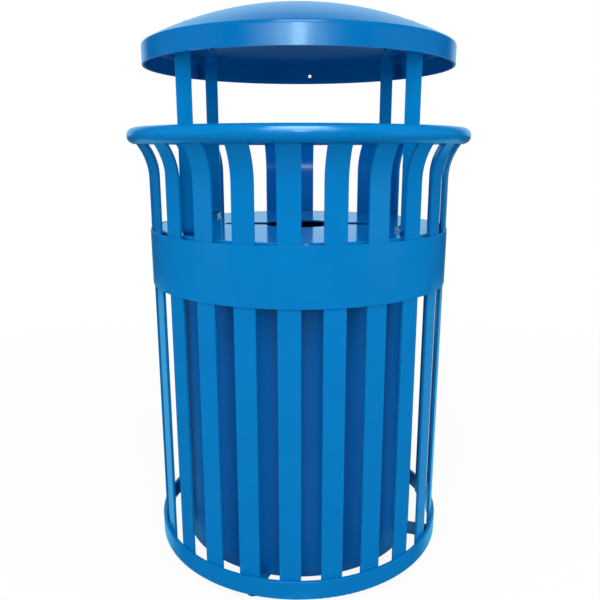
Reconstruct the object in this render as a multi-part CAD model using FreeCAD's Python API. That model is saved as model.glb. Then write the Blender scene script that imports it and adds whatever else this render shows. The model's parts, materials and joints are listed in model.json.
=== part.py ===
# Outdoor recycling bin, in millimetres: a slatted steel body on levelling feet, a lift-out
# liner, and a flat lid that carries a rain dome on two bent straps.
# +Z is up, the front faces -Y, and the origin is on the floor under the middle of the bin.
import FreeCAD, Part
import math
import os

V = FreeCAD.Vector
ORIGIN = V(0, 0, 0)
UP = V(0, 0, 1)

# Fits shared by all pieces
weld_gap = 0.05
sliding_gap = 0.3
bolt_hole_gap = 0.25
cut_overrun = 5.0

# Eased edges of rolled bars and of trimmed sheets
bar_edge_round = 1.0
sheet_edge_round = 0.5

# Slats: flat bars, upright, that flare outwards to the rim
slat_count = 24
slat_width = 38.1
slat_thickness = 4.8
slat_face_radius = 283.3
slat_turn = -3.0
flare_radius = 101.6
flare_reach = 19.5
slat_lift = 1.5

# Hoops round the slats: rim tube, sign band and bottom ring
rim_tube_radius = 14.3
rim_reach = 25.1
rim_height = 809.3
band_height = 101.6
band_thickness = 2.0
band_base = 538.8
ring_height = 35.0
ring_thickness = 6.35
ground_clearance = 12.0

# Cross of flat bars in the base, each end on the inner face of a slat
base_bar_width = 38.1
base_bar_thickness = 6.35
base_bar_lift = 1.5
base_slat_index = -1
anchor_hole_radius = 7.15

# Levelling feet under the ends of the cross
foot_count = 4
foot_inset = 10.5
foot_stud_radius = 5.0
foot_stud_proud = 8.0
foot_hex_flats = 17.0
foot_nut_height = 8.0
foot_pad_radius = 12.0
foot_pad_height = 8.0
foot_pad_round = 2.0
foot_spigot_depth = 5.0

# Liner: a rolled steel drum with a raised floor and a curled rim
liner_clearance = 41.0
liner_wall = 1.2
liner_height = 620.6
liner_floor_rise = 14.0
liner_curl_radius = 4.5

# Lid: a flat disc with a down-turned edge, and a collar that drops into the liner
lid_clearance = 5.5
lid_thickness = 2.5
lid_edge_depth = 15.0
lid_edge_round = 3.0
hole_radius = 67.5
slot_length = 292.0
slot_width = 40.0
collar_thickness = 2.0
collar_height = 25.0
collar_gap = 2.0

# Straps: flat bars bent to an arch, with feet on the lid
strap_width = 25.4
strap_thickness = 6.35
strap_corner_inset = 18.9
strap_corner_angle = 42.6
strap_foot_end = 14.0
strap_bend_radius = 6.35
strap_dome_gap = 0.5

# Fasteners of the straps
bolt_radius = 4.0
bolt_head_radius = 8.5
bolt_head_height = 4.5
bolt_collar_gap = 2.1
nut_flats = 13.0
nut_height = 6.5
thread_proud = 3.0
spacer_radius = 8.0
stud_inset = 40.0

# Rain dome: a spun cap with an upright skirt and a hemmed edge
dome_overhang = 13.3
dome_lift = 288.8
dome_sheet = 2.0
skirt_height = 34.2
dome_rise = 71.0
shoulder_round = 6.0
hem_height = 10.0
hem_thickness = 2.0
drip_hole_radius = 3.5
drip_hole_height = 17.0
drip_hole_turn = 175.0

# Places that follow from the sizes above
slat_inner_radius = slat_face_radius - slat_thickness
slat_mid_radius = slat_face_radius - slat_thickness / 2
slat_corner_radius = bar_edge_round + math.hypot(
    slat_face_radius - bar_edge_round, slat_width / 2 - bar_edge_round
)
slat_pitch = 360.0 / slat_count
rim_radius = slat_mid_radius + rim_reach
hoop_inner_radius = slat_corner_radius + weld_gap
ring_base = ground_clearance
base_bar_base = ring_base + base_bar_lift
base_bar_top = base_bar_base + base_bar_thickness
base_turn = slat_turn + base_slat_index * slat_pitch
foot_circle_radius = slat_inner_radius - foot_inset
liner_base = base_bar_top
liner_radius = slat_inner_radius - liner_clearance
liner_inner_radius = liner_radius - liner_wall
liner_top = liner_base + liner_height
lid_base = liner_top + sliding_gap
lid_top = lid_base + lid_thickness
lid_radius = slat_inner_radius - lid_clearance
collar_outer_radius = liner_inner_radius - collar_gap
collar_inner_radius = collar_outer_radius - collar_thickness
dome_radius = lid_radius + dome_overhang
dome_base = lid_top + dome_lift
shoulder_height = dome_base + skirt_height
dome_sphere_radius = (dome_radius ** 2 + dome_rise ** 2) / (2 * dome_rise)
dome_centre_height = shoulder_height + dome_rise - dome_sphere_radius
dome_under_radius = dome_sphere_radius - dome_sheet
strap_outer_bend = strap_bend_radius + strap_thickness
strap_circle_radius = lid_radius - strap_corner_inset
strap_offset = strap_circle_radius * math.cos(math.radians(strap_corner_angle))
strap_half_span = strap_circle_radius * math.sin(math.radians(strap_corner_angle))
nut_corner_radius = nut_flats / 2 / math.cos(math.radians(30))
bolt_circle_radius = collar_inner_radius - bolt_collar_gap - nut_corner_radius
bolt_span = math.sqrt(bolt_circle_radius ** 2 - strap_offset ** 2)
stud_span = strap_half_span - stud_inset


def dome_underside(radius):
    """Height of the dome's underside at a distance from the bin's axis."""
    return dome_centre_height + math.sqrt(dome_under_radius ** 2 - radius ** 2)


strap_corner_radius = math.hypot(
    strap_offset + strap_width / 2,
    strap_half_span + strap_thickness / 2 - strap_outer_bend,
)
strap_top = dome_underside(strap_corner_radius) - strap_dome_gap
strap_underside = strap_top - strap_thickness


def turned(shape, angle):
    """A copy of a shape, turned about the bin's axis."""
    copy = shape.copy()
    copy.rotate(ORIGIN, UP, angle)
    return copy


def moved(shape, x, y, z):
    """A copy of a shape, moved to a place."""
    copy = shape.copy()
    copy.translate(V(x, y, z))
    return copy


def line(start, end):
    return Part.LineSegment(start, end).toShape()


def arc(start, middle, end):
    return Part.Arc(start, middle, end).toShape()


def rounded_face(corners):
    """A flat face through (point, radius) corners, with a tangent arc where the radius isn't 0."""
    edges = []
    count = len(corners)
    tangents = []
    for index in range(count):
        point, radius = corners[index]
        to_last = (corners[index - 1][0] - point).normalize()
        to_next = (corners[(index + 1) % count][0] - point).normalize()
        half_angle = to_last.getAngle(to_next) / 2
        reach = radius / math.tan(half_angle)
        tangents.append((point + to_last * reach, point + to_next * reach))
        if radius > 0:
            inward = (to_last + to_next).normalize()
            middle = point + inward * (radius / math.sin(half_angle) - radius)
            edges.append(arc(tangents[index][0], middle, tangents[index][1]))
    for index in range(count):
        edges.append(line(tangents[index][1], tangents[(index + 1) % count][0]))
    return Part.Face(Part.Wire(Part.__sortEdges__(edges)))


def spun(edges):
    """The solid that an outline in the XZ plane makes when it is turned about the axis."""
    face = Part.Face(Part.Wire(Part.__sortEdges__(edges)))
    return face.revolve(ORIGIN, UP, 360)


def hoop(inner_radius, thickness, base, height, edge_round):
    """A round band with plain faces and eased edges."""
    outer_radius = inner_radius + thickness
    top = base + height
    corners = [V(inner_radius, 0, base), V(outer_radius, 0, base), V(outer_radius, 0, top), V(inner_radius, 0, top)]
    return rounded_face([(corner, edge_round) for corner in corners]).revolve(ORIGIN, UP, 360)


def hexagon(flats, base, height):
    """A hexagonal prism about the axis, given by its size across the flats."""
    corner_radius = flats / 2 / math.cos(math.radians(30))
    points = []
    for index in range(7):
        angle = math.radians(60 * index)
        points.append(V(corner_radius * math.cos(angle), corner_radius * math.sin(angle), base))
    return Part.Face(Part.makePolygon(points)).extrude(V(0, 0, height))


def save(name, shape):
    shape.exportStep("parts/" + name + ".step")


def slat():
    """One slat at the front: upright, then bent outwards, and coped to the underside of the rim tube."""
    flare_mid_radius = flare_radius + slat_thickness / 2
    flare_angle = math.acos(1 - flare_reach / flare_mid_radius)
    flare_base = rim_height - rim_tube_radius - flare_mid_radius * math.sin(flare_angle)
    bend_centre = V(0, -slat_face_radius - flare_radius, flare_base)

    def on_bend(radius, share):
        angle = flare_angle * share
        return bend_centre + V(0, radius * math.cos(angle), radius * math.sin(angle))

    half_share = 0.5
    lead_in = V(0, -math.sin(flare_angle), math.cos(flare_angle)) * rim_tube_radius
    inner_bend = flare_radius + slat_thickness
    foot = ring_base + slat_lift
    outer_foot = V(0, -slat_face_radius, foot)
    inner_foot = V(0, -slat_inner_radius, foot)
    outer_end = on_bend(flare_radius, 1)
    inner_end = on_bend(inner_bend, 1)
    edges = [
        line(outer_foot, on_bend(flare_radius, 0)),
        arc(on_bend(flare_radius, 0), on_bend(flare_radius, half_share), outer_end),
        line(outer_end, outer_end + lead_in),
        line(outer_end + lead_in, inner_end + lead_in),
        line(inner_end + lead_in, inner_end),
        arc(inner_end, on_bend(inner_bend, half_share), on_bend(inner_bend, 0)),
        line(on_bend(inner_bend, 0), inner_foot),
        line(inner_foot, outer_foot),
    ]
    bar = Part.Face(Part.Wire(edges)).extrude(V(slat_width, 0, 0))
    long_edges = [edge for edge in bar.Edges if is_along_slat(edge)]
    bar = moved(bar.makeFillet(bar_edge_round, long_edges), -slat_width / 2, 0, 0)
    return bar.cut(rim_tube(weld_gap))


def is_along_slat(edge):
    """Whether an edge runs along the bar, and not across it."""
    return edge.BoundBox.XLength < weld_gap and edge.Length > slat_thickness + weld_gap


def rim_tube(grown=0):
    """The round rim, or a slightly grown one that leaves room for a weld."""
    return Part.makeTorus(rim_radius, rim_tube_radius + grown, V(0, 0, rim_height))


def base_bar(start, end):
    """A flat bar of the cross along X, from one distance to another, with a hole for each foot on it."""
    bar = Part.makeBox(
        end - start, base_bar_width, base_bar_thickness, V(start, -base_bar_width / 2, base_bar_base)
    )
    bar = bar.makeFillet(bar_edge_round, [edge for edge in bar.Edges if edge.BoundBox.XLength > base_bar_width])
    for place in (-foot_circle_radius, foot_circle_radius):
        bar = bar.cut(upright_hole(foot_stud_radius + sliding_gap, place, 0, base_bar_base, base_bar_top))
    return bar


def upright_hole(radius, x, y, base, top):
    """A round cutter that runs past both faces."""
    return Part.makeCylinder(radius, top - base + 2 * cut_overrun, V(x, y, base - cut_overrun))


def cross_bar():
    """The long bar of the cross, with the anchor hole in its middle."""
    bar = base_bar(-slat_inner_radius, slat_inner_radius)
    return bar.cut(upright_hole(anchor_hole_radius, 0, 0, base_bar_base, base_bar_top))


def foot_weld_nut():
    """A weld nut on a bar of the cross, outside the liner."""
    nut = hexagon(foot_hex_flats, base_bar_top, foot_nut_height)
    return nut.cut(
        upright_hole(foot_stud_radius + sliding_gap, 0, 0, base_bar_top, base_bar_top + foot_nut_height)
    )


def foot_stud():
    """A levelling screw, up against its stop: hexagon, thread through bar and nut, spigot in the pad."""
    hex_height = base_bar_base - foot_pad_height
    thread_length = base_bar_thickness + foot_nut_height + foot_stud_proud
    head = hexagon(foot_hex_flats, foot_pad_height, hex_height)
    thread = Part.makeCylinder(foot_stud_radius, thread_length, V(0, 0, base_bar_base))
    spigot = Part.makeCylinder(
        foot_stud_radius, foot_spigot_depth, V(0, 0, foot_pad_height - foot_spigot_depth)
    )
    return head.fuse([thread, spigot]).removeSplitter()


def foot_pad():
    """A round glide with a rounded foot edge and a socket for the screw's spigot."""
    pad = Part.makeCylinder(foot_pad_radius, foot_pad_height)
    foot_edge = [edge for edge in pad.Edges if edge.BoundBox.ZMax < foot_pad_round]
    pad = pad.makeFillet(foot_pad_round, foot_edge)
    socket = Part.makeCylinder(
        foot_stud_radius + weld_gap,
        foot_spigot_depth + cut_overrun,
        V(0, 0, foot_pad_height - foot_spigot_depth),
    )
    return pad.cut(socket)


def liner_bucket():
    """The drum: its wall stands below the raised floor, and its rim is curled outwards."""
    curl_x = liner_inner_radius + liner_curl_radius
    curl_z = liner_top - liner_curl_radius
    curl_drop = math.sqrt(liner_curl_radius ** 2 - (curl_x - liner_radius) ** 2)
    floor_base = liner_base + liner_floor_rise
    floor_top = floor_base + liner_wall
    wall_foot = V(liner_radius, 0, liner_base)
    curl_start = V(liner_radius, 0, curl_z - curl_drop)
    curl_side = V(curl_x + liner_curl_radius, 0, curl_z)
    curl_end = V(liner_inner_radius, 0, curl_z)
    points = [
        curl_end,
        V(liner_inner_radius, 0, floor_top),
        V(0, 0, floor_top),
        V(0, 0, floor_base),
        V(liner_inner_radius, 0, floor_base),
        V(liner_inner_radius, 0, liner_base),
        wall_foot,
        curl_start,
    ]
    edges = [line(start, end) for start, end in zip(points, points[1:])]
    edges.append(arc(curl_start, curl_side, curl_end))
    return spun(edges)


def throw_in_cutter():
    """The lid's opening: a round hole in the middle of a long slot."""
    base = lid_base - cut_overrun
    height = lid_thickness + 2 * cut_overrun
    slot_end = slot_length / 2 - slot_width / 2
    middle = Part.makeBox(2 * slot_end, slot_width, height, V(-slot_end, -slot_width / 2, base))
    cutter = Part.makeCylinder(hole_radius, height, V(0, 0, base)).fuse(middle)
    for x in (-slot_end, slot_end):
        cutter = cutter.fuse(Part.makeCylinder(slot_width / 2, height, V(x, 0, base)))
    return cutter.removeSplitter()


def lid_disc():
    """A flat sheet with a down-turned edge, the throw-in opening and holes for the strap bolts."""
    edge_base = lid_top - lid_edge_depth
    disc = Part.makeCylinder(lid_radius, lid_edge_depth, V(0, 0, edge_base))
    top_edge = [edge for edge in disc.Edges if edge.BoundBox.ZMin > lid_base]
    disc = disc.makeFillet(lid_edge_round, top_edge)
    disc = disc.cut(Part.makeCylinder(lid_radius - lid_thickness, lid_base - edge_base, V(0, 0, edge_base)))
    disc = disc.cut(throw_in_cutter())
    for x, y in strap_places(bolt_span):
        disc = disc.cut(upright_hole(bolt_radius + bolt_hole_gap, x, y, lid_base, lid_top))
    return disc


def lid_collar():
    """A hoop under the lid that drops into the liner and centres the lid on it."""
    collar_base = lid_base - collar_height
    return hoop(collar_inner_radius, collar_thickness, collar_base, collar_height, sheet_edge_round)


def strap_places(span):
    """The four places on the two straps that lie at a distance from the bin's middle plane."""
    return [(side * strap_offset, end * span) for side in (-1, 1) for end in (-1, 1)]


def strap():
    """One strap: a flat bar bent to an arch from the lid's front to its back, with both feet turned in."""
    x = -strap_width / 2
    outside = strap_half_span + strap_thickness / 2
    inside = strap_half_span - strap_thickness / 2
    tip = bolt_span - strap_foot_end
    foot_top = lid_top + strap_thickness
    bar = rounded_face([
        (V(x, tip, lid_top), 0),
        (V(x, outside, lid_top), strap_outer_bend),
        (V(x, outside, strap_top), strap_outer_bend),
        (V(x, -outside, strap_top), strap_outer_bend),
        (V(x, -outside, lid_top), strap_outer_bend),
        (V(x, -tip, lid_top), 0),
        (V(x, -tip, foot_top), 0),
        (V(x, -inside, foot_top), strap_bend_radius),
        (V(x, -inside, strap_underside), strap_bend_radius),
        (V(x, inside, strap_underside), strap_bend_radius),
        (V(x, inside, foot_top), strap_bend_radius),
        (V(x, tip, foot_top), 0),
    ]).extrude(V(strap_width, 0, 0))
    bar = bar.makeFillet(bar_edge_round, [edge for edge in bar.Edges if edge.BoundBox.XLength < weld_gap])
    for end in (-1, 1):
        bar = bar.cut(upright_hole(bolt_radius + bolt_hole_gap, 0, end * bolt_span, lid_top, foot_top))
        bar = bar.cut(upright_hole(bolt_radius + bolt_hole_gap, 0, end * stud_span, strap_underside, strap_top))
    return bar


def nut(top):
    """A hexagon nut that hangs under a face."""
    base = top - nut_height
    return hexagon(nut_flats, base, nut_height).cut(upright_hole(bolt_radius + weld_gap, 0, 0, base, top))


def lid_bolt():
    """A round-headed bolt down through a strap's foot and the lid."""
    head_base = lid_top + strap_thickness
    half_share = 0.5
    head_bow = (bolt_head_radius ** 2 + bolt_head_height ** 2) / (2 * bolt_head_height)
    bow_angle = math.asin(bolt_head_radius / head_bow) * half_share
    crown = head_base + bolt_head_height
    head = spun([
        line(V(0, 0, head_base), V(bolt_head_radius, 0, head_base)),
        arc(
            V(bolt_head_radius, 0, head_base),
            V(head_bow * math.sin(bow_angle), 0, crown - head_bow * (1 - math.cos(bow_angle))),
            V(0, 0, crown),
        ),
        line(V(0, 0, crown), V(0, 0, head_base)),
    ])
    tip = lid_base - nut_height - thread_proud
    return head.fuse(Part.makeCylinder(bolt_radius, head_base - tip, V(0, 0, tip))).removeSplitter()


def under_dome(shape):
    """What is left of a shape below the dome's underside, so that it seats there."""
    ball = Part.makeSphere(dome_under_radius - weld_gap, V(0, 0, dome_centre_height))
    return shape.common(ball)


def dome_stud(x, y):
    """A weld stud that hangs from the dome's underside, through a spacer and the strap."""
    tip = strap_underside - nut_height - thread_proud
    return under_dome(Part.makeCylinder(bolt_radius, shoulder_height + dome_rise - tip, V(x, y, tip)))


def dome_spacer(x, y):
    """A sleeve between the strap and the dome's underside."""
    sleeve = Part.makeCylinder(spacer_radius, shoulder_height + dome_rise - strap_top, V(x, y, strap_top))
    bore_top = shoulder_height + dome_rise
    return under_dome(sleeve.cut(upright_hole(bolt_radius + weld_gap, x, y, strap_top, bore_top)))


def rain_dome():
    """The spun cap: a shallow crown, a rounded shoulder, an upright skirt and a hem folded inside."""
    half_share = 0.5
    inner_radius = dome_radius - dome_sheet
    hem_radius = inner_radius - hem_thickness

    def on_sphere(sphere_radius, radius):
        return V(radius, 0, dome_centre_height + math.sqrt(sphere_radius ** 2 - radius ** 2))

    outer_crown = on_sphere(dome_sphere_radius, 0)
    outer_shoulder = on_sphere(dome_sphere_radius, dome_radius)
    inner_crown = on_sphere(dome_under_radius, 0)
    inner_shoulder = on_sphere(dome_under_radius, inner_radius)
    hem_top = dome_base + hem_height
    points = [
        inner_shoulder,
        V(inner_radius, 0, hem_top),
        V(hem_radius, 0, hem_top),
        V(hem_radius, 0, dome_base),
        V(dome_radius, 0, dome_base),
        outer_shoulder,
    ]
    edges = [line(start, end) for start, end in zip(points, points[1:])]
    edges.append(arc(outer_shoulder, on_sphere(dome_sphere_radius, dome_radius * half_share), outer_crown))
    edges.append(line(outer_crown, inner_crown))
    edges.append(arc(inner_crown, on_sphere(dome_under_radius, inner_radius * half_share), inner_shoulder))
    dome = spun(edges)
    for shoulder, radius in ((outer_shoulder, shoulder_round), (inner_shoulder, shoulder_round - dome_sheet)):
        dome = dome.makeFillet(radius, [edge for edge in dome.Edges if is_circle_at(edge, shoulder)])
    drip_hole = Part.makeCylinder(
        drip_hole_radius, dome_radius, V(0, 0, dome_base + drip_hole_height), V(0, -1, 0)
    )
    return dome.cut(turned(drip_hole, drip_hole_turn))


def is_circle_at(edge, point):
    """Whether an edge is the level circle through a point of the outline."""
    box = edge.BoundBox
    on_level = abs(box.ZMin - point.z) < weld_gap and abs(box.ZMax - point.z) < weld_gap
    return on_level and abs(box.XMax - point.x) < weld_gap


def build_body():
    """The slats, the three hoops that hold them and the cross in the base."""
    front_slat = slat()
    for index in range(slat_count):
        save("slat_%02d" % (index + 1), turned(front_slat, slat_turn + index * slat_pitch))
    save("rim_tube", rim_tube())
    save("sign_band", hoop(hoop_inner_radius, band_thickness, band_base, band_height, sheet_edge_round))
    save("bottom_ring", hoop(hoop_inner_radius, ring_thickness, ring_base, ring_height, bar_edge_round))
    right_half = base_bar(base_bar_width / 2, slat_inner_radius)
    quarter_turn = 90
    save("base_cross_bar", turned(cross_bar(), base_turn))
    save("base_half_bar_a", turned(right_half, base_turn + quarter_turn))
    save("base_half_bar_b", turned(right_half, base_turn - quarter_turn))


def build_feet():
    """A weld nut, a levelling screw and a pad under each end of the cross."""
    nuts = []
    for index in range(foot_count):
        turn = base_turn + index * 360.0 / foot_count
        nuts.append(turned(moved(foot_weld_nut(), foot_circle_radius, 0, 0), turn))
        save("foot_stud_%d" % (index + 1), turned(moved(foot_stud(), foot_circle_radius, 0, 0), turn))
        save("foot_pad_%d" % (index + 1), turned(moved(foot_pad(), foot_circle_radius, 0, 0), turn))
    save("foot_weld_nuts", Part.makeCompound(nuts))


def build_lid():
    """The lid, its two straps, the dome that they carry and their fasteners."""
    save("lid_disc", lid_disc())
    save("lid_collar", lid_collar())
    save("strap_left", moved(strap(), -strap_offset, 0, 0))
    save("strap_right", moved(strap(), strap_offset, 0, 0))
    bolt_places = strap_places(bolt_span)
    stud_places = strap_places(stud_span)
    save("lid_bolts", Part.makeCompound([moved(lid_bolt(), x, y, 0) for x, y in bolt_places]))
    save("lid_nuts", Part.makeCompound([moved(nut(lid_base), x, y, 0) for x, y in bolt_places]))
    save("rain_dome", rain_dome())
    save("dome_studs", Part.makeCompound([dome_stud(x, y) for x, y in stud_places]))
    save("dome_spacers", Part.makeCompound([dome_spacer(x, y) for x, y in stud_places]))
    save("dome_nuts", Part.makeCompound([moved(nut(strap_underside), x, y, 0) for x, y in stud_places]))


os.makedirs("parts", exist_ok=True)
build_body()
build_feet()
save("liner_bucket", liner_bucket())
build_lid()
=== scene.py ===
# %% [markdown]
# # A round outdoor recycling bin
# The real bin is welded from flat steel bar, with a rim of round tube, and gets one coat of blue powder
# paint. A lid with a rain dome lies loose on a lift-out liner. The frame that we load holds every piece in
# full size. This lesson dresses it: camera, stage, light, finishes, and then the small things that a
# welder and a fitter leave behind, such as beads, seams and threads.

import json
import math

import bmesh
import bpy
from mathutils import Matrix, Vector


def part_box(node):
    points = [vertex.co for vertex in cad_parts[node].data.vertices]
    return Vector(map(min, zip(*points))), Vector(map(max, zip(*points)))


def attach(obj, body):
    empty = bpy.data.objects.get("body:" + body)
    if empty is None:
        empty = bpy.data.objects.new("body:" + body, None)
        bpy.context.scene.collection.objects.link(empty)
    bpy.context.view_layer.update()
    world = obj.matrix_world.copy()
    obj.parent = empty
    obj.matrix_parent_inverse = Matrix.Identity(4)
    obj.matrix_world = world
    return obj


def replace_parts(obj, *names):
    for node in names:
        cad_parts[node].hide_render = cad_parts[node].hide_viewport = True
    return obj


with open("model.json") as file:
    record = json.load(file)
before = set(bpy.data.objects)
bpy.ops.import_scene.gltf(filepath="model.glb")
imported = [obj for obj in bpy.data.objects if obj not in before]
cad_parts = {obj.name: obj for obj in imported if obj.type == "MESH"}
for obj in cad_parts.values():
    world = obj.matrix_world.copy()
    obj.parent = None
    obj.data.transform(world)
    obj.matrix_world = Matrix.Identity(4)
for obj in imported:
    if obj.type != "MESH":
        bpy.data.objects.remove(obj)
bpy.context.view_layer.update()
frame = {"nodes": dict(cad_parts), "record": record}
nodes = frame["nodes"]
scene = bpy.context.scene

# %% [markdown]
# ## The camera
# The photograph was taken from just below the height of the rim, looking down by about 13 degrees. A camera
# can be placed by eye, but fitting it to measured edges is surer: the rim, the band and the ring gave the
# focal length in pixels, the tilt and the place below.

# %% Camera
PHOTO_SIDE = 600
FOCAL_PIXELS = 637.3
SENSOR_WIDTH = 36.0
CAMERA_TILT = math.radians(13.33)
CAMERA_PLACE = (0.0023, -1.2623, 0.7864)

camera_data = bpy.data.cameras.new("camera")
camera_data.sensor_width = SENSOR_WIDTH
camera_data.lens = FOCAL_PIXELS / PHOTO_SIDE * SENSOR_WIDTH
camera = bpy.data.objects.new("camera", camera_data)
camera.location = CAMERA_PLACE
camera.rotation_euler = (math.radians(90) - CAMERA_TILT, 0, 0)
scene.collection.objects.link(camera)
scene.camera = camera
scene.view_settings.view_transform = "Standard"
print("lens:", round(camera_data.lens, 2), "mm")

# %% [markdown]
# ## Shader maths as plain Python
# A material is a graph of nodes. Wiring them one by one hides the idea, so a small class wraps an output
# socket and lets us write `1 - mask` or `0.3 + grain * 0.1`. Each such expression adds its Math node. One
# method, `node`, makes every other kind: its settings come first, then the values or wires of its sockets.


# %% Wires
class Wire:
    """An output socket that can be used in sums."""

    def __init__(self, graph, socket):
        self.graph = graph
        self.socket = socket

    def maths(self, operation, first, second):
        return self.graph.node("Math", {"operation": operation}, {0: first, 1: second})

    def __add__(self, other):
        return self.maths("ADD", self, other)

    def __radd__(self, other):
        return self.maths("ADD", other, self)

    def __sub__(self, other):
        return self.maths("SUBTRACT", self, other)

    def __rsub__(self, other):
        return self.maths("SUBTRACT", other, self)

    def __mul__(self, other):
        return self.maths("MULTIPLY", self, other)

    def __rmul__(self, other):
        return self.maths("MULTIPLY", other, self)

    def __abs__(self):
        return self.maths("ABSOLUTE", self, 0)


print("wire:", Wire.__doc__)


# %% Graphs
class Graph:
    """The node tree of a material or of the world."""

    def __init__(self, owner):
        owner.use_nodes = True
        self.owner = owner
        self.tree = owner.node_tree

    def node(self, kind, settings=None, sockets=None, out=0):
        """Makes a node and hands on one of its outputs, if it has any."""
        made = self.tree.nodes.new("ShaderNode" + kind)
        for name, value in (settings or {}).items():
            setattr(made, name, value)
        for name, value in (sockets or {}).items():
            self.plug(made.inputs[name], value)
        return Wire(self, made.outputs[out]) if len(made.outputs) else None

    def plug(self, socket, value):
        if isinstance(value, Wire):
            self.tree.links.new(value.socket, socket)
        else:
            socket.default_value = value

    def shader(self, **sockets):
        """Sets the sockets of the material's own Principled shader."""
        principled = self.tree.nodes["Principled BSDF"]
        for name, value in sockets.items():
            self.plug(principled.inputs[name.replace("_", " ")], value)

    def place(self):
        """Points in metres, the same for all pieces of the bin."""
        return self.node("TexCoord", out="Object")

    def noise(self, scale, at, detail=2.0):
        return self.node("TexNoise", sockets={"Vector": at, "Scale": scale, "Detail": detail})

    def ramp(self, value, start, end):
        """0 where the value is at the start, 1 at the end, and smooth between."""
        settings = {"interpolation_type": "SMOOTHSTEP", "clamp": True}
        return self.node("MapRange", settings, {"Value": value, "From Min": start, "From Max": end})

    def blend(self, share, first, second):
        """A colour between two colours."""
        sockets = {"Factor": share, "A": first, "B": second}
        return self.node("Mix", {"data_type": "RGBA"}, sockets, out="Result")

    def layer(self, share, first, second):
        """A shader between two shaders."""
        return self.node("MixShader", sockets={0: share, 1: first, 2: second})

    def bump(self, height, depth):
        return self.node("Bump", sockets={"Height": height, "Distance": depth})

    def ray(self, name):
        """1 for rays of one kind: camera, glossy, transmission or diffuse."""
        return self.node("LightPath", out="Is " + name + " Ray")


print("graph:", Graph.__doc__)

# %% [markdown]
# Colours are easiest to read as levels on a screen, from 0 to 255. Blender's shaders count light instead,
# so each level goes through the screen's own curve, the sRGB curve, once, here in Python.

# %% Screen colours
SCREEN_TOP = 255
CURVE_TOE = 0.04045
TOE_SLOPE = 12.92
CURVE_OFFSET = 0.055
CURVE_POWER = 2.4


def linear(level):
    """The amount of light of a level on the screen."""
    share = level / SCREEN_TOP
    if share <= CURVE_TOE:
        return share / TOE_SLOPE
    return ((share + CURVE_OFFSET) / (1 + CURVE_OFFSET)) ** CURVE_POWER


def colour(red, green, blue):
    """A colour given as it looks on screen."""
    return (linear(red), linear(green), linear(blue), 1.0)


def grey(level):
    return colour(level, level, level)


print("a mid grey in linear light:", round(grey(128)[0], 3))

# %% [markdown]
# ## A white stage
# The photograph has nothing but white around the bin. A world of that strength would wash the paint out, so
# white is kept for rays that look straight at the background. Gloss sees a studio instead: a pale blue wall
# behind the bin, dimmer walls at its sides, and darkness in front, which keeps the blue deep. All other
# rays get a plain soft light from everywhere.

# %% World
WHITE = (1.0, 1.0, 1.0, 1.0)
WORLD_LIGHT = 0.43
DARK_STUDIO = 0.02
WALL_LEVEL = 1.05
WALL_TINT = (0.42, 0.74, 1.0, 1.0)
WALL_EDGE = (0.64, 0.84)
SIDE_EDGE = (0.84, 0.97)
SIDE_SHARE = 0.22

world = bpy.data.worlds.new("studio")
world.cycles.sampling_method = "NONE"
scene.world = world
sky = Graph(world)
sky.tree.nodes.clear()


def backdrop_share(graph, direction, edge):
    """1 in directions that point backwards enough, 0 to the sides and the front, and smooth between."""
    backwards = graph.node("SeparateXYZ", sockets={"Vector": direction}, out="Y")
    return graph.ramp(backwards, *edge)


def sky_level(level, tint=WHITE):
    return sky.node("Background", sockets={"Color": tint, "Strength": level})


ahead = sky.node("TexCoord", out="Generated")
sideways = sky.node("SeparateXYZ", sockets={"Vector": ahead}, out="X")
side_walls = sky.ramp(abs(sideways), *SIDE_EDGE) * SIDE_SHARE
walls = backdrop_share(sky, ahead, WALL_EDGE) + side_walls
mirrored = sky.layer(walls, sky_level(DARK_STUDIO), sky_level(WALL_LEVEL, WALL_TINT))
unseen = sky.layer(sky.ray("Glossy"), sky_level(WORLD_LIGHT), mirrored)
seen = sky.ray("Camera") + sky.ray("Transmission")
sky.node("OutputWorld", sockets={"Surface": sky.layer(seen, unseen, sky_level(1.0))})
print("world light:", WORLD_LIGHT)

# %% [markdown]
# The floor follows the same rule. To the camera it is nearly white, with a soft shadow near the bin that
# fades out further away. To the gloss it is pale blue behind the bin, a stronger blue in the two corners
# at the back, where the outermost slats and the ends of the ring mirror it, and dark elsewhere. One flat
# disc does both, because its material asks what kind of ray has met it.

# %% Floor sheet
FLOOR_REACH = 40.0
FLOOR_SIDES = 96


def linked(name, mesh):
    """A new object from a mesh, in the scene."""
    made = bpy.data.objects.new(name, mesh)
    scene.collection.objects.link(made)
    return made


def floor_sheet():
    shape = bmesh.new()
    bmesh.ops.create_circle(shape, cap_ends=True, segments=FLOOR_SIDES, radius=FLOOR_REACH)
    mesh = bpy.data.meshes.new("floor")
    shape.to_mesh(mesh)
    shape.free()
    return linked("floor", mesh)


floor = floor_sheet()
print("floor reaches", FLOOR_REACH, "m")

# %% Floor as the camera sees it
FLOOR_MOTTLE = 3.0
FLOOR_TONES = (grey(238), grey(248))
FLOOR_DIM = grey(188)
FLOOR_ROUGHNESS = 0.9
FLOOR_WHITE_SHARE = 0.92
SHADOW_EDGE = (1.0, 2.4)


def glow(graph, tint, level):
    return graph.node("Emission", sockets={"Color": tint, "Strength": level})


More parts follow.
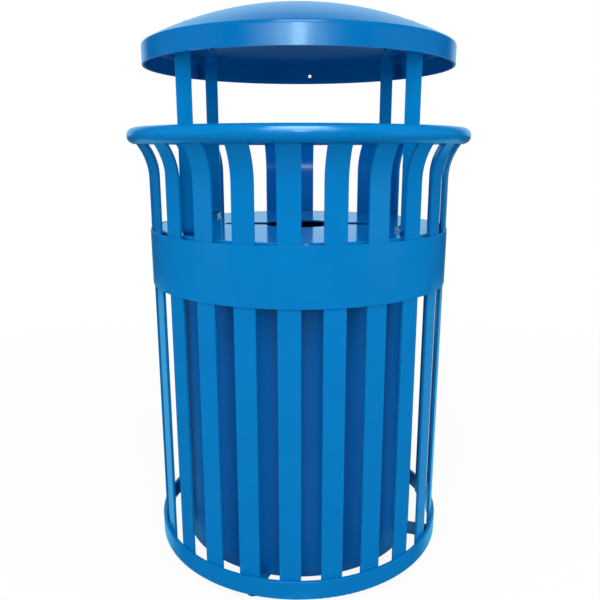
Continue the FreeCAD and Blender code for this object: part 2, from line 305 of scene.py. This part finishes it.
def seen_floor(graph, at, distance):
    """Nearly white, with a share of lit floor for the shadow. Light that it throws back is dimmer."""
    pale = graph.blend(graph.noise(FLOOR_MOTTLE, at, detail=3.0), *FLOOR_TONES)
    tone = graph.blend(graph.ray("Diffuse"), pale, FLOOR_DIM)
    graph.shader(Base_Color=tone, Roughness=FLOOR_ROUGHNESS)
    lit = Wire(graph, graph.tree.nodes["Principled BSDF"].outputs["BSDF"])
    far = graph.ramp(distance, *SHADOW_EDGE)
    white_share = FLOOR_WHITE_SHARE + (1 - FLOOR_WHITE_SHARE) * far
    looked_at = graph.ray("Camera") + graph.ray("Transmission")
    return graph.layer(looked_at * white_share, lit, glow(graph, WHITE, 1.0))


print("the floor's shadow fades out at", SHADOW_EDGE[1], "m")

# %% Floor as the gloss sees it
FLOOR_EDGE = (0.8, 0.97)
MIRROR_START = (1.1, 1.7)
MIRROR_END = (2.6, 4.2)
MIRROR_LEAST = 0.3
CORNER_TINT = (0.17, 0.68, 1.0, 1.0)
CORNER_LEVEL = 1.2
CORNER_SHIFT = (0.0, 0.33, 0.0)
CORNER_START = (0.5, 0.64)
CORNER_END = (0.84, 0.94)
CORNER_REACH = (2.2, 3.0)
CORNER_SHARE = 0.85


def heading(graph, at):
    """The direction of a point."""
    return graph.node("VectorMath", {"operation": "NORMALIZE"}, {0: at}, out="Vector")


def mirrored_floor(graph, at, distance):
    strip = graph.ramp(distance, *MIRROR_START) - graph.ramp(distance, *MIRROR_END)
    strip_share = MIRROR_LEAST + strip * (1 - MIRROR_LEAST)
    behind = backdrop_share(graph, heading(graph, at), FLOOR_EDGE) * strip_share
    shifted = graph.node("VectorMath", {"operation": "ADD"}, {0: at, 1: CORNER_SHIFT}, out="Vector")
    turned = heading(graph, shifted)
    past_start = backdrop_share(graph, turned, CORNER_START)
    past_end = backdrop_share(graph, turned, CORNER_END)
    near = 1 - graph.ramp(distance, *CORNER_REACH)
    near_corners = (past_start - past_end) * near * CORNER_SHARE
    dark = glow(graph, WHITE, DARK_STUDIO)
    plain = graph.layer(behind, dark, glow(graph, WALL_TINT, 1.0))
    return graph.layer(near_corners, plain, glow(graph, CORNER_TINT, CORNER_LEVEL))


def floor_finish():
    graph = Graph(bpy.data.materials.new("pale_floor"))
    graph.owner.cycles.emission_sampling = "NONE"
    at = graph.place()
    distance = graph.node("VectorMath", {"operation": "LENGTH"}, {0: at}, out="Value")
    direct = seen_floor(graph, at, distance)
    whole = graph.layer(graph.ray("Glossy"), direct, mirrored_floor(graph, at, distance))
    graph.plug(graph.tree.nodes["Material Output"].inputs["Surface"], whole)
    return graph.owner


floor.data.materials.append(floor_finish())
print("floor finish:", floor.data.materials[0].name)

# %% [markdown]
# ## Studio light
# Four soft boxes, in front, at both sides and behind, light the paint evenly. They are kept out of
# reflections, because the photograph shows none of them. A fifth box, overhead, is mirrored as well: it
# lays a soft sheen on the dome and along the top of the rim.

# %% Lamps
AIM = Vector((0, 0, 0.6))


def soft_box(name, place, width, height, power, aim=AIM):
    lamp = bpy.data.lights.new(name, "AREA")
    lamp.shape = "RECTANGLE"
    lamp.size = width
    lamp.size_y = height
    lamp.energy = power
    box = bpy.data.objects.new(name, lamp)
    box.location = place
    box.rotation_euler = (aim - Vector(place)).to_track_quat("-Z", "Y").to_euler()
    box.visible_camera = False
    scene.collection.objects.link(box)
    return box


fills = [
    soft_box("key_box", (0.0, -3.3, 2.1), width=2.8, height=1.3, power=28),
    soft_box("left_box", (-3.0, -1.5, 0.85), width=1.6, height=1.6, power=45),
    soft_box("right_box", (3.0, -1.5, 0.85), width=1.6, height=1.6, power=45),
    soft_box("back_box", (0.0, 3.2, 1.3), width=2.4, height=1.4, power=34),
]
for box in fills:
    box.visible_glossy = False
soft_box("overhead_box", (0.0, -1.5, 2.88), width=1.1, height=1.7, power=38)
print("fills:", [box.name for box in fills])

# %% [markdown]
# Gloss is shaped by what it mirrors. The bright stripes on the dome and the rim lie where their curved
# sheet faces bright panels. Panels that light everything would also change the paint's colour and put
# stripes on the flat bars, so each panel is seen in the gloss alone, and only by the pieces in its group:
# Blender calls that light linking, and a photographer would set up flags for it.


# %% Mirrored panels
def mirrored_panel(name, target, place, size, radiance, receivers):
    """A panel that faces a target. Its place is a turn about the target, a distance and a lift."""
    turn, reach, lift = place
    width, height = size
    spot = target + Vector((reach * math.sin(turn), -reach * math.cos(turn), lift))
    power = radiance * math.pi * width * height
    panel = soft_box(name, spot, width, height, power, target)
    panel.visible_diffuse = False
    panel.light_linking.receiver_collection = receivers


def receiver_group(name, members):
    group = bpy.data.collections.new(name)
    for member in members:
        group.objects.link(nodes[member])
    return group


print("soft boxes so far:", len(bpy.data.lights))

# %% [markdown]
# The stripe down the dome's skirt is brightest in the middle and fades out, more slowly to the left. A fan
# of narrow panels, side by side, gives that: each is mirrored in its own part of the skirt, so that the
# radiance along the fan draws the stripe. The slats at the back mirror the fan too, in their bends.

# %% Skirt panels
SKIRT_HEIGHT = 0.0342
BACK_START = 0.15
FAN_DISTANCE = 2.5
FAN_HEIGHT = 0.3
FAN_RISE = math.radians(9.5)
FAN_LEFT = -40.0
CORE_LEFT = -3.0
CORE_RIGHT = 6.0
FAN_RIGHT = 38.0
FAN_STEP = 3.0
CORE_RADIANCE = 17.5
LEFT_RADIANCE = 10.5
RIGHT_RADIANCE = 7.5
LEFT_FALL = 1.7
RIGHT_FALL = 2.6

dome_low, dome_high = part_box("rain_dome")
skirt_centre = Vector((0, 0, dome_low.z + SKIRT_HEIGHT / 2))
slats = [name for name in nodes if name.startswith("slat_")]
back_slats = [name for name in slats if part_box(name)[0].y > BACK_START]
facing_fan = receiver_group("facing_fan", ["rain_dome"] + back_slats)


def fan_radiance(angle):
    """Bright in the core, and falling to nothing at both ends of the fan."""
    if angle < CORE_LEFT:
        return LEFT_RADIANCE * ((angle - FAN_LEFT) / (CORE_LEFT - FAN_LEFT)) ** LEFT_FALL
    if angle > CORE_RIGHT:
        return RIGHT_RADIANCE * ((FAN_RIGHT - angle) / (FAN_RIGHT - CORE_RIGHT)) ** RIGHT_FALL
    return CORE_RADIANCE


fan_count = round((FAN_RIGHT - FAN_LEFT) / FAN_STEP)
fan_reach = FAN_DISTANCE + dome_high.x
fan_lift = FAN_DISTANCE * math.tan(FAN_RISE)
fan_size = (FAN_DISTANCE * math.radians(FAN_STEP), FAN_HEIGHT)
for index in range(fan_count):
    angle = FAN_LEFT + FAN_STEP * (index + 0.5)
    place = (math.radians(angle), fan_reach, fan_lift)
    mirrored_panel(f"fan_{index + 1}", skirt_centre, place, fan_size, fan_radiance(angle), facing_fan)
print("panels in the fan:", fan_count)

# %% [markdown]
# The rim is a round tube, so a panel's rise sets how far down the tube its picture lies. Three wide panels,
# one above the other, make a short pale line at the front, and a narrow, brighter one widens its middle.
# Each row below holds a panel's rise, height and width in degrees, as the rim sees it, and its radiance.

# %% Rim strip
STRIP_DISTANCE = 2.0
STRIP_TURN = math.radians(1.5)
STRIP_PANELS = ((66, 18, 32, 6.0), (47, 18, 46, 4.5), (30, 16, 46, 3.0), (23, 16, 8, 11.0))

rim_low, rim_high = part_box("rim_tube")
tube_radius = (rim_high.z - rim_low.z) / 2
rim_radius = rim_high.x - tube_radius
rim_front = Vector((0, -rim_high.x, rim_low.z + tube_radius))
facing_strip = receiver_group("facing_strip", ["rim_tube"])
for index, (rise, tall, wide, radiance) in enumerate(STRIP_PANELS):
    reach = STRIP_DISTANCE * math.cos(math.radians(rise))
    lift = STRIP_DISTANCE * math.sin(math.radians(rise))
    place = (STRIP_TURN, reach, lift)
    size = (STRIP_DISTANCE * math.radians(wide), STRIP_DISTANCE * math.radians(tall))
    mirrored_panel(f"strip_{index + 1}", rim_front, place, size, radiance, facing_strip)
print("panels in the strip:", len(STRIP_PANELS))

# %% [markdown]
# Inside the cage the light is deeper and bluer, because it has met blue paint on its way. Light that
# bounces that often is slow to render well, so two boxes with a blue filter stand in for it. One hangs
# between the dome and the lid, and gives the light that the dome's blue underside throws down. The other
# reaches the slats at the back between those at the front.

# %% Light inside the cage
DOME_FILTER = (0.5, 0.7, 1.0)
CAGE_FILTER = (0.4, 0.4, 1.0)
LID_AIM = Vector((0, -0.03, 0.66))
SLAT_AIM = Vector((0, 0, 0.72))

dome_box = soft_box("dome_box", (0.0, -0.031, 0.885), width=0.34, height=0.3, power=0.4, aim=LID_AIM)
dome_box.data.color = DOME_FILTER
dome_box.light_linking.receiver_collection = receiver_group("under_dome", ["lid_disc"])
cage_box = soft_box("cage_box", (0.0, -3.2, 1.35), width=1.8, height=0.9, power=42, aim=SLAT_AIM)
cage_box.data.color = CAGE_FILTER
cage_box.light_linking.receiver_collection = receiver_group("back_row", back_slats)
for box in (dome_box, cage_box):
    box.visible_glossy = False
print("filtered boxes:", dome_box.name, cage_box.name)

# %% [markdown]
# ## Blue powder coat
# Powder paint melts into a thick, even skin. Up close it has a fine ripple called orange peel, a slight
# mottle where the powder lay thicker, and a gloss that varies a little. Noise gives all of that: a broad
# one and a very fine one for the tone, a middle one for the gloss, and one a few millimetres wide for the
# ripple.

# %% Powder coat
MOTTLE_SCALE = 14.0
MOTTLE_SHARE = 0.7
SPECK_SCALE = 900.0
GLOSS_SCALE = 60.0
GLOSS_SPREAD = 0.08
PEEL_SCALE = 380.0
PEEL_DEPTH = 0.00002
PAINT_IOR = 1.5
SHEEN = (0.65, 0.95, 1.0, 1.0)


def powder_coat(name, tone, deep_tone, roughness, peel=1.0):
    graph = Graph(bpy.data.materials.new(name))
    at = graph.place()
    mottle = graph.noise(MOTTLE_SCALE, at, detail=4.0)
    speck = graph.noise(SPECK_SCALE, at, detail=1.0)
    share = mottle * MOTTLE_SHARE + speck * (1 - MOTTLE_SHARE)
    cloud = graph.noise(GLOSS_SCALE, at, detail=3.0)
    ripple = graph.noise(PEEL_SCALE, at)
    graph.shader(
        Base_Color=graph.blend(share, deep_tone, tone),
        Roughness=roughness - GLOSS_SPREAD / 2 + cloud * GLOSS_SPREAD,
        IOR=PAINT_IOR,
        Specular_Tint=SHEEN,
        Normal=graph.bump(ripple, PEEL_DEPTH * peel),
    )
    return graph.owner


coats = {
    "body": powder_coat("body_powder_coat", colour(0, 124, 194), colour(0, 110, 178), 0.18),
    "lid": powder_coat("lid_powder_coat", colour(0, 130, 200), colour(0, 117, 185), 0.1, 0.4),
    "dome": powder_coat("dome_powder_coat", colour(0, 111, 181), colour(0, 98, 165), 0.16, 0.6),
    "liner": powder_coat("liner_powder_coat", colour(0, 104, 182), colour(0, 92, 166), 0.4),
}
print("powder coats:", list(coats))

# %% [markdown]
# ## Zinc and rubber
# Bolts, nuts and levelling screws are zinc plated: a grey metal whose gloss changes from crystal to
# crystal. Voronoi cells, a few millimetres wide, make those crystals. The glides under the feet are moulded
# rubber, nearly black, dull, with a fine grain.

# %% Zinc
CRYSTAL_SCALE = 420.0
CRYSTAL_DEPTH = 0.00002
TARNISH_SCALE = 35.0
ZINC_TONES = (colour(136, 138, 139), colour(164, 164, 160))
ZINC_ROUGHNESS = 0.3
CRYSTAL_SPREAD = 0.16
TARNISH_SPREAD = 0.08


def zinc_plate():
    graph = Graph(bpy.data.materials.new("zinc_plate"))
    at = graph.place()
    crystal = graph.node("TexVoronoi", sockets={"Vector": at, "Scale": CRYSTAL_SCALE})
    tarnish = graph.noise(TARNISH_SCALE, at, detail=3.0)
    graph.shader(
        Base_Color=graph.blend(tarnish, *ZINC_TONES),
        Metallic=1.0,
        Roughness=ZINC_ROUGHNESS + crystal * CRYSTAL_SPREAD + tarnish * TARNISH_SPREAD,
        Normal=graph.bump(crystal, CRYSTAL_DEPTH),
    )
    return graph.owner


zinc = zinc_plate()
print("crystals:", round(1000 / CRYSTAL_SCALE, 1), "mm")

# %% Rubber
GRAIN_SCALE = 1400.0
GRAIN_DEPTH = 0.00004
DUST_SCALE = 45.0
DUST_SHARE = 0.6
RUBBER_TONES = (colour(26, 27, 30), colour(48, 49, 52))
RUBBER_ROUGHNESS = 0.62
GRAIN_SPREAD = 0.2


def moulded_rubber():
    graph = Graph(bpy.data.materials.new("moulded_rubber"))
    at = graph.place()
    grain = graph.noise(GRAIN_SCALE, at)
    dust = graph.noise(DUST_SCALE, at, detail=4.0)
    graph.shader(
        Base_Color=graph.blend(dust * DUST_SHARE, *RUBBER_TONES),
        Roughness=RUBBER_ROUGHNESS + grain * GRAIN_SPREAD,
        Normal=graph.bump(grain, GRAIN_DEPTH),
    )
    return graph.owner


rubber = moulded_rubber()
print("rubber grain:", round(1000 / GRAIN_SCALE, 1), "mm")

# %% [markdown]
# ## Painting the pieces of the frame
# The bin's record names a finish for each piece. We look it up and put it on the piece, whose shape stays
# as it is. Colours could be set piece by piece, but one loop over the record can't forget a piece. The
# dome has a coat of its own, a shade deeper than the lid's, as the photograph shows it.

# %% Paint the pieces
finish_of_slot = {
    "body_paint": coats["body"],
    "lid_paint": coats["lid"],
    "liner_paint": coats["liner"],
    "zinc_hardware": zinc,
    "glide_rubber": rubber,
}
for subpart in frame["record"]["subparts"]:
    for slot in nodes[subpart["node"]].material_slots:
        slot.material = finish_of_slot[subpart["material_slot"]]
nodes["rain_dome"].material_slots[0].material = coats["dome"]

# %% [markdown]
# ## Stock for small pieces
# Beads, seams, threads and nuts are all made in one way: a ring of points moves along, and faces join it to
# the ring before. One class gathers these rings for as many strokes as a piece has. Each weld could be an
# object of its own, but one piece for each kind of weld is easier to find, to paint and to move.


# %% Stock
class Stock:
    """The points and faces of one small piece, gathered from several strokes."""

    def __init__(self):
        self.points = []
        self.faces = []

    def skin(self, rings):
        """Quads between rings of points, with a cap on the first and on the last."""
        count = len(rings[0])
        start = len(self.points)
        for ring in rings:
            self.points.extend(ring)
        for row in range(len(rings) - 1):
            low = start + row * count
            for step in range(count):
                after = (step + 1) % count
                self.faces.append((low + step, low + after, low + count + after, low + count + step))
        last = start + (len(rings) - 1) * count
        self.faces.append(tuple(range(start + count - 1, start - 1, -1)))
        self.faces.append(tuple(range(last, last + count)))

    def piece(self, name, body, slot, smooth=True):
        """Makes the object, paints it and lets it ride on its body."""
        mesh = bpy.data.meshes.new(name)
        mesh.from_pydata(self.points, [], self.faces)
        mesh.polygons.foreach_set("use_smooth", [smooth] * len(mesh.polygons))
        mesh.materials.append(finish_of_slot[slot])
        made = linked(name, mesh)
        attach(made, body)
        print(name, "-", len(self.faces), "faces")
        return made


print("stock:", Stock.__doc__)

# %% [markdown]
# ## Weld beads
# The slats are welded to the rim, the band, the ring and the base bars. A bead is a string of small frozen
# ripples. We sweep a circle along its path and let its radius swell and shrink once per ripple. A bumpy
# material would be quicker, but from the side its outline would stay smooth.

# %% Bead strokes
BEAD_STEP = 0.0008
RIPPLE_STEPS = 3
RIPPLE_SHARE = 0.14
BEAD_SIDES = 8
END_STEPS = 4
END_SHARE = 0.4


def bead(stock, path, radius, across):
    """A weld bead along a path of points. The vector across lies at right angles to the path."""
    last = len(path) - 1
    rings = []
    for index, point in enumerate(path):
        along = (path[min(index + 1, last)] - path[max(index - 1, 0)]).normalized()
        side = along.cross(across).normalized()
        up = side.cross(along)
        ripple = 1 - RIPPLE_SHARE * (index % RIPPLE_STEPS) / RIPPLE_STEPS
        taper = min(1.0, END_SHARE + (1 - END_SHARE) * min(index, last - index) / END_STEPS)
        size = radius * ripple * taper
        turns = [math.tau * step / BEAD_SIDES for step in range(BEAD_SIDES)]
        rings.append([point + size * (math.cos(turn) * side + math.sin(turn) * up) for turn in turns])
    stock.skin(rings)


def straight(start, end):
    """Points along a line, one bead step apart."""
    count = max(2, round((end - start).length / BEAD_STEP))
    return [start.lerp(end, index / count) for index in range(count + 1)]


print("a ripple is", round(BEAD_STEP * RIPPLE_STEPS * 1000, 1), "mm long")

# %% [markdown]
# Beads lie where a welder can reach them and a passer-by can't see them: on the inner side of the cage. The
# 24 slats stand in a circle, so a place on one of them, given along its width and height, holds for all.

# %% Places on the slats
SLAT_TURN = math.radians(-93)
SLAT_WIDTH = 0.0381
SLAT_THICKNESS = 0.0048
UP = Vector((0, 0, 1))

slat_turns = [SLAT_TURN + math.tau * index / len(slats) for index in range(len(slats))]
slat_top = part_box("slat_01")[1].z
half_slat = SLAT_WIDTH / 2


def slat_face(turn, radius, sideways, height):
    """A point on a slat: its face's distance from the axis, the step along its width, and the height."""
    outward = Vector((math.cos(turn), math.sin(turn), 0))
    return outward * radius + UP.cross(outward) * sideways + UP * height


print("slats:", len(slats), "top:", round(slat_top, 4))

# %% Cage welds
RIM_BEAD = 0.0022
RIM_JOINT_SHARE = 0.5
STITCH_BEAD = 0.0016
STITCH_LENGTH = 0.016
STITCH_MARGIN = 0.004
HOOP_INSIDE = 0.2833

band_low, band_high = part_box("sign_band")
ring_low, ring_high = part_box("bottom_ring")


def rim_welds():
    """Beads where the flared ends of the slats meet the tube, on the inner side."""
    stock = Stock()
    joint_radius = rim_radius - tube_radius * RIM_JOINT_SHARE
    for turn in slat_turns:
        start = slat_face(turn, joint_radius, -half_slat, slat_top)
        end = slat_face(turn, joint_radius, half_slat, slat_top)
        bead(stock, straight(start, end), RIM_BEAD, UP)
    stock.piece("rim_welds", "frame", "body_paint")


def stitch_welds(name, radius, heights):
    """Short upright beads in the corners between the edges of the slats and a hoop round them."""
    stock = Stock()
    for turn in slat_turns:
        for side in (-half_slat, half_slat):
            for height in heights:
                start = slat_face(turn, radius, side, height)
                path = straight(start, start + UP * STITCH_LENGTH)
                bead(stock, path, STITCH_BEAD, start.normalized())
    stock.piece(name, "frame", "body_paint")


rim_welds()
stitch_welds("ring_welds", HOOP_INSIDE, [(ring_low.z + ring_high.z - STITCH_LENGTH) / 2])
band_heights = [band_low.z + STITCH_MARGIN, band_high.z - STITCH_MARGIN - STITCH_LENGTH]
stitch_welds("band_welds", HOOP_INSIDE, band_heights)

# %% [markdown]
# The base bars cross under the liner. Their ends are welded to four of the slats, and the two half bars to
# the long one in the middle. Here too a bead runs along each joint, on top, where the torch can get in.

# %% Base welds
BAR_WIDTH = 0.0381
BAR_TURN = math.radians(-18)
BAR_ENDS = 4

bar_low, bar_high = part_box("base_cross_bar")


def base_welds():
    stock = Stock()
    reach = HOOP_INSIDE - SLAT_THICKNESS
    half_bar = BAR_WIDTH / 2
    for index in range(BAR_ENDS):
        turn = BAR_TURN + math.tau * index / BAR_ENDS
        start = slat_face(turn, reach, -half_bar, bar_high.z)
        end = slat_face(turn, reach, half_bar, bar_high.z)
        bead(stock, straight(start, end), RIM_BEAD, UP)
    for turn in (BAR_TURN, BAR_TURN + math.pi):
        start = slat_face(turn + math.pi / 2, half_bar, -half_bar, bar_high.z)
        end = slat_face(turn + math.pi / 2, half_bar, half_bar, bar_high.z)
        bead(stock, straight(start, end), STITCH_BEAD, UP)
    stock.piece("base_welds", "frame", "body_paint")


base_welds()

# %% [markdown]
# A hoop of bar or tube is closed by a joint of its own. The rim, the band and the ring each have one at the
# back, ground nearly flush before painting, so most of the bead lies under the surface.

# %% Hoop seams
SEAM_BEAD = 0.0011
SEAM_SINK = SEAM_BEAD * 0.6
SEAM_TURN = math.radians(82.5)
SEAM_STEPS = 72


def polar(radius, turn, height):
    """A point from its distance to the bin's axis, its direction in radians and its height."""
    return Vector((radius * math.cos(turn), radius * math.sin(turn), height))


def hoop_seams():
    stock = Stock()
    outward = polar(1, SEAM_TURN, 0)
    for low, high in ((band_low, band_high), (ring_low, ring_high)):
        radius = high.x - SEAM_SINK
        start = polar(radius, SEAM_TURN, low.z + SEAM_BEAD)
        end = polar(radius, SEAM_TURN, high.z - SEAM_BEAD)
        bead(stock, straight(start, end), SEAM_BEAD, outward)
    centre = outward * rim_radius + UP * (rim_low.z + tube_radius)
    circle = [math.tau * step / SEAM_STEPS for step in range(SEAM_STEPS + 1)]
    size = tube_radius - SEAM_SINK
    path = [centre + size * (math.cos(turn) * outward + math.sin(turn) * UP) for turn in circle]
    bead(stock, path, SEAM_BEAD, UP.cross(outward))
    stock.piece("hoop_seams", "frame", "body_paint")


hoop_seams()

# %% [markdown]
# ## The liner's seam and the lid's collar
# The liner is rolled from sheet. Its two edges hook into each other and are pressed flat, which leaves a
# narrow raised strip down the back. The strip's outline is drawn in shares of half its width and of its
# height, and is swept upwards in one stroke.

# %% Liner seam
SEAM_WIDTH = 0.010
SEAM_PROUD = 0.0014
SEAM_FROM = 0.012
SEAM_UNDER_CURL = 0.014
SEAM_OUTLINE = ((-1, -0.6), (-1, 0.5), (-0.8, 1), (0.8, 1), (1, 0.5), (1, -0.6))
LINER_RADIUS = 0.2375
BACK = math.radians(90)

liner_low, liner_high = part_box("liner_bucket")


def liner_seam():
    stock = Stock()
    rings = []
    for height in (liner_low.z + SEAM_FROM, liner_high.z - SEAM_UNDER_CURL):
        ring = []
        for side, out in SEAM_OUTLINE:
            radius = LINER_RADIUS + SEAM_PROUD * out
            ring.append(slat_face(BACK, radius, SEAM_WIDTH / 2 * side, height))
        rings.append(ring)
    stock.skin(rings)
    stock.piece("liner_seam", "liner", "liner_paint", smooth=False)


liner_seam()

# %% [markdown]
# The collar under the lid keeps the lid centred on the liner. A full weld would warp the flat disc, so
# eight short beads, spread round the collar, hold it.

# %% Collar welds
COLLAR_BEADS = 8
COLLAR_BEAD_TURN = math.radians(7)

collar_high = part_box("lid_collar")[1]


def collar_welds():
    stock = Stock()
    radius = collar_high.x
    count = round(radius * COLLAR_BEAD_TURN / BEAD_STEP)
    for index in range(COLLAR_BEADS):
        middle = math.tau * (index + 0.5) / COLLAR_BEADS
        turns = [middle + COLLAR_BEAD_TURN * (step / count - 0.5) for step in range(count + 1)]
        bead(stock, [polar(radius, turn, collar_high.z) for turn in turns], STITCH_BEAD, UP)
    stock.piece("collar_welds", "lid", "lid_paint")


collar_welds()

# %% [markdown]
# ## Bolts, nuts and levelling screws
# Every fastener in the frame is a plain cylinder or hexagon, which is right for a collision model. The real
# ones have a rolled thread, a bevel on the corners of each hexagon and a domed head. The thread is a helix:
# the radius of each point depends on how far its height has run ahead of its turn.

# %% Threads
THREAD_SIDES = 20
RINGS_PER_PITCH = 6
THREAD_DEPTH_SHARE = 0.55
TIP_SHARE = 0.15


def ring_of(centre, height, sizes):
    """A ring of points about an upright axis, with one radius per point."""
    base = centre + Vector((0, 0, height))
    count = len(sizes)
    return [base + polar(size, math.tau * step / count, 0) for step, size in enumerate(sizes)]


def thread(stock, centre, low, high, radius, pitch):
    """An upright rod with a helical thread and bevelled tips."""
    count = round((high - low) / pitch * RINGS_PER_PITCH)
    depth = THREAD_DEPTH_SHARE * pitch
    rings = []
    for row in range(count + 1):
        height = low + (high - low) * row / count
        tip = max(0.0, 1 - min(height - low, high - height) / pitch)
        crest = radius * (1 - TIP_SHARE * tip)
        ahead_by = (height - low) / pitch
        phases = [(ahead_by - step / THREAD_SIDES) % 1 for step in range(THREAD_SIDES)]
        rings.append(ring_of(centre, height, [crest - depth * abs(2 * phase - 1) for phase in phases]))
    stock.skin(rings)


print("rings per turn of a thread:", RINGS_PER_PITCH)

# %% Hexagons and turned pieces
HEX_SIDES = 36
BEVEL_SHARE = 0.09
FACE_SHARE = 0.98
ROUND_SIDES = 32


def hexagon(stock, centre, low, high, flats, bore):
    """A hexagon with its corners bevelled at both ends."""
    apothem = flats / 2
    bevel = apothem * BEVEL_SHARE
    turns = [math.tau * step / HEX_SIDES for step in range(HEX_SIDES)]
    sixth = math.tau / 6
    full = [apothem / math.cos((turn % sixth) - sixth / 2) for turn in turns]
    face = [min(size, apothem * FACE_SHARE) for size in full]
    hole = [bore] * HEX_SIDES
    lower = [(low, hole), (low, face), (low + bevel, full)]
    upper = [(high - bevel, full), (high, face), (high, hole)]
    stock.skin([ring_of(centre, height, sizes) for height, sizes in lower + upper])


def lathe(stock, centre, outline):
    """A round piece turned from an outline of radius and height."""
    stock.skin([ring_of(centre, height, [radius] * ROUND_SIDES) for radius, height in outline])


print("points round a hexagon:", HEX_SIDES)

# %% [markdown]
# Four bolts hold the feet of the straps on the lid, and four studs with nuts hold the dome on the straps. A
# bolt's head could be a squashed ball. Turned from an outline, as on a lathe, it also gets a flat seat and
# a short, steep edge.

# %% Lid fasteners
BOLT_RADIUS = 0.004
BOLT_PITCH = 0.00125
HEAD_RADIUS = 0.0085
HEAD_HEIGHT = 0.0045
HEAD_EDGE_SHARE = 0.25
HEAD_SEAT_SHARE = 0.96
HEAD_ARC = math.radians(84)
HEAD_STEPS = 7
NUT_FLATS = 0.013


def corners(node, reach):
    """The four places of a node's fasteners, each standing a reach inside the node's box."""
    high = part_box(node)[1]
    across = high.x - reach
    deep = high.y - reach
    return [Vector((x, y, 0)) for x in (-across, across) for y in (-deep, deep)]


def domed_head(base):
    edge = base + HEAD_HEIGHT * HEAD_EDGE_SHARE
    crown = HEAD_HEIGHT - HEAD_HEIGHT * HEAD_EDGE_SHARE
    arc = [HEAD_ARC * step / HEAD_STEPS for step in range(HEAD_STEPS + 1)]
    dome = [(HEAD_RADIUS * math.cos(turn), edge + crown * math.sin(turn)) for turn in arc]
    return [(HEAD_RADIUS * HEAD_SEAT_SHARE, base)] + dome


def lid_fasteners():
    bolt_low, bolt_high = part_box("lid_bolts")
    nut_low, nut_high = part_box("lid_nuts")
    head_base = bolt_high.z - HEAD_HEIGHT
    bolts = Stock()
    nuts = Stock()
    for centre in corners("lid_bolts", HEAD_RADIUS):
        thread(bolts, centre, bolt_low.z, head_base, BOLT_RADIUS, BOLT_PITCH)
        lathe(bolts, centre, domed_head(head_base))
        hexagon(nuts, centre, nut_low.z, nut_high.z, NUT_FLATS, BOLT_RADIUS)
    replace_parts(bolts.piece("threaded_lid_bolts", "lid", "zinc_hardware"), "lid_bolts")
    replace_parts(nuts.piece("bevelled_lid_nuts", "lid", "zinc_hardware", smooth=False), "lid_nuts")


def dome_fasteners():
    stud_low, stud_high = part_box("dome_studs")
    nut_low, nut_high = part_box("dome_nuts")
    studs = Stock()
    nuts = Stock()
    for centre in corners("dome_studs", BOLT_RADIUS):
        thread(studs, centre, stud_low.z, stud_high.z, BOLT_RADIUS, BOLT_PITCH)
        hexagon(nuts, centre, nut_low.z, nut_high.z, NUT_FLATS, BOLT_RADIUS)
    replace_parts(studs.piece("threaded_dome_studs", "lid", "lid_paint"), "dome_studs")
    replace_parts(nuts.piece("bevelled_dome_nuts", "lid", "lid_paint", smooth=False), "dome_nuts")


lid_fasteners()
dome_fasteners()

# %% [markdown]
# ## Levelling feet
# Each foot is a screw in a rubber glide. Its hexagon takes a spanner, and its thread goes up through the
# end of a base bar and into a nut that is welded on top. The four are alike, so one function makes them,
# each at the place of the plain one in the frame.

# %% Levelling feet
FOOT_COUNT = 4
FOOT_RADIUS = 0.005
FOOT_PITCH = 0.0015
FOOT_FLATS = 0.017


def levelling_screw(number):
    """The hexagon to turn it by, the thread that goes up through the bar, and a spigot in the glide."""
    node = f"foot_stud_{number}"
    low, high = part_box(node)
    pad_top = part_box(f"foot_pad_{number}")[1].z
    centre = Vector(((low.x + high.x) / 2, (low.y + high.y) / 2, 0))
    stock = Stock()
    lathe(stock, centre, [(FOOT_RADIUS, low.z), (FOOT_RADIUS, pad_top)])
    hexagon(stock, centre, pad_top, bar_low.z, FOOT_FLATS, FOOT_RADIUS)
    thread(stock, centre, bar_low.z, high.z, FOOT_RADIUS, FOOT_PITCH)
    made = stock.piece(f"threaded_foot_{number}", f"foot_{number}", "zinc_hardware", smooth=False)
    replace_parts(made, node)
    return centre


def weld_nuts(centres):
    low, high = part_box("foot_weld_nuts")
    stock = Stock()
    for centre in centres:
        hexagon(stock, centre, low.z, high.z, FOOT_FLATS, FOOT_RADIUS)
    made = stock.piece("bevelled_weld_nuts", "frame", "zinc_hardware", smooth=False)
    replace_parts(made, "foot_weld_nuts")


weld_nuts([levelling_screw(number) for number in range(1, FOOT_COUNT + 1)])

# %% [markdown]
